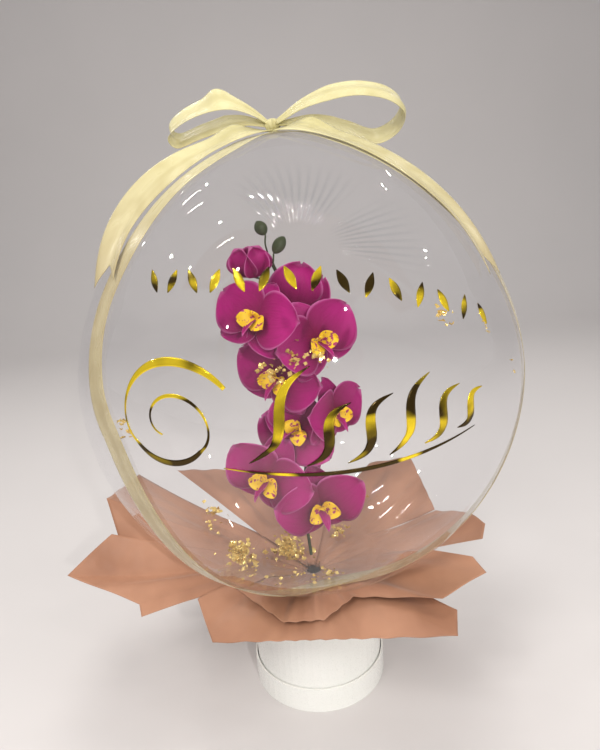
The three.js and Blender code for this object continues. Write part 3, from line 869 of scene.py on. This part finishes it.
# Each patch's longitude and latitude, how many flakes, their spread and their size
scattered = (
    (-72, -67, 60, 0.010, 0.0046), (-104, -82, 50, 0.013, 0.0046), (-90, -76, 10, 0.010, 0.003),
    (-110, -55, 24, 0.008, 0.0036), (-98, -57, 14, 0.008, 0.003), (19, -77, 16, 0.010, 0.003),
    (141, -76, 26, 0.010, 0.0036), (-126, -86, 24, 0.010, 0.003), (-55, -66, 26, 0.024, 0.0024),
    (-19, -77, 30, 0.024, 0.0024), (34, 23, 12, 0.010, 0.0030), (49, 17, 6, 0.006, 0.0024),
    (-42, 2, 12, 0.006, 0.0034), (60, 6, 4, 0.006, 0.0018), (150, -60, 12, 0.016, 0.003),
)
crumbs = []
for longitude, latitude, *patch in scattered:
    crumbs += flakes(*inside(longitude, latitude), *patch)
toward_front = Vector((0, -0.9, 0.4)).normalized()
for longitude, latitude, lift, count, spread in (
    (-72, -67, 0.010, 170, 0.0070), (-104, -82, 0.008, 110, 0.0080),
):
    heap = inside(longitude, latitude)[0] + Vector((0, 0, lift))
    crumbs += flakes(heap, toward_front, count, spread, HEAP_FLAKE)
for place in ((-0.010, -0.036, 0.398), (0.014, -0.040, 0.404), (-0.030, -0.034, 0.388)):
    crumbs += flakes(Vector(place), Vector((0, -1, 0)), 26, 0.011, PETAL_FLAKE)
piece("gold_leaf", joined("gold_leaf", crumbs), leaf_gold)


# Floor, backdrop and light
# A plain pale floor that runs up into a backdrop, soft studio light, and small lamps and strips
# overhead that show as bright dots and dashes in the balloon.
FLOOR_WIDTH, FLOOR_RUN, FLOOR_FRONT, FLAT_RUN, COVE_RADIUS = 16, 8, -2.6, 4.4, 0.9


def floor_at(u, v):
    x, run = (u - 0.5) * FLOOR_WIDTH, v * FLOOR_RUN
    if run < FLAT_RUN:
        return Vector((x, FLOOR_FRONT + run, 0))
    turn = min((run - FLAT_RUN) / COVE_RADIUS, pi / 2)
    wall = max(run - FLAT_RUN - COVE_RADIUS * pi / 2, 0)
    return Vector((x, FLOOR_FRONT + FLAT_RUN + COVE_RADIUS * sin(turn),
                   COVE_RADIUS * (1 - cos(turn)) + wall))


ground = Looks("ground", Roughness=0.6)
ground.set("Base Color", ground.mix(ground.noise(3, 2), (0.60, 0.575, 0.57), (0.57, 0.55, 0.545)))
floor = bpy.data.objects.new("floor", sheet_mesh("floor", floor_at, 8, 64))
scene.collection.objects.link(floor)
dress(floor, ground)

world = bpy.data.worlds.new("studio")
scene.world = world
world.use_nodes = True
sky = world.node_tree.nodes["Background"]
sky.inputs["Color"].default_value = (0.86, 0.84, 0.85, 1)
sky.inputs["Strength"].default_value = 0.42
LAMP_COLOUR = (1, 0.97, 0.93)
LAMPS_ROUND, LAMPS_AWAY, LAMPS_AIM = Vector((0, -0.1, 0.45)), 2.2, Vector((0, 0, 0.38))


def lamp(name, place, aim, size, power):
    light = bpy.data.lights.new(name, "AREA")
    light.shape = "DISK"
    light.size = size
    light.energy = power
    light.color = LAMP_COLOUR
    obj = bpy.data.objects.new(name, light)
    obj.location = place
    obj.rotation_euler = (Vector(aim) - Vector(place)).to_track_quat("-Z", "Y").to_euler()
    scene.collection.objects.link(obj)
    return obj


for soft_box in (
    lamp("key", (-0.9, -1.3, 1.9), (0, 0, 0.3), 0.9, 30),
    lamp("fill", (1.6, -0.9, 1.3), (0, 0, 0.35), 1.2, 13),
    lamp("top", (0.2, 0.5, 2.2), (0, 0, 0.35), 0.8, 16),
):
    soft_box.visible_glossy = False
for i, way in enumerate((
    (-0.45, 0.08, 0.89), (-0.70, 0.53, 0.47), (-0.73, 0.14, 0.67), (-0.68, -0.09, 0.73),
    (-0.40, -0.36, 0.84), (0.38, -0.66, 0.65), (-0.52, -0.63, 0.57), (0.09, 0.02, 1.0),
    (0.81, 0.11, 0.57), (-0.42, 0.55, 0.73), (0.16, -0.91, 0.38),
)):
    lamp("spot_%d" % (i + 1), LAMPS_ROUND + LAMPS_AWAY * Vector(way), LAMPS_AIM, 0.045, 1.6)
lamp("front", (0.5, -1.7, 1.1), (0, 0, 0.25), 0.05, 12)
for i, (start, end) in enumerate((
    ((-0.51, 0.74, 0.43), (-0.42, 0.78, 0.46)), ((-0.49, 0.66, 0.57), (-0.40, 0.70, 0.59)),
    ((-0.54, 0.52, 0.66), (-0.45, 0.54, 0.71)), ((-0.56, 0.38, 0.73), (-0.49, 0.37, 0.79)),
    ((-0.51, -0.11, 0.85), (-0.39, -0.11, 0.91)), ((0.47, 0.68, 0.56), (0.43, 0.72, 0.55)),
    ((0.53, 0.46, 0.71), (0.49, 0.50, 0.71)), ((0.54, -0.28, 0.79), (0.50, -0.31, 0.81)),
)):
    start, end = (LAMPS_ROUND + LAMPS_AWAY * Vector(way) for way in (start, end))
    strip = lamp("strip_%d" % (i + 1), (start + end) / 2, LAMPS_AIM, (end - start).length, 0.6)
    strip.data.shape = "RECTANGLE"
    strip.data.size_y = 0.007
    back = (strip.location - LAMPS_AIM).normalized()
    along = (end - start).normalized()
    along = (along - back * along.dot(back)).normalized()
    turned = Matrix((along, back.cross(along), back)).transposed()
    strip.rotation_euler = turned.to_euler()
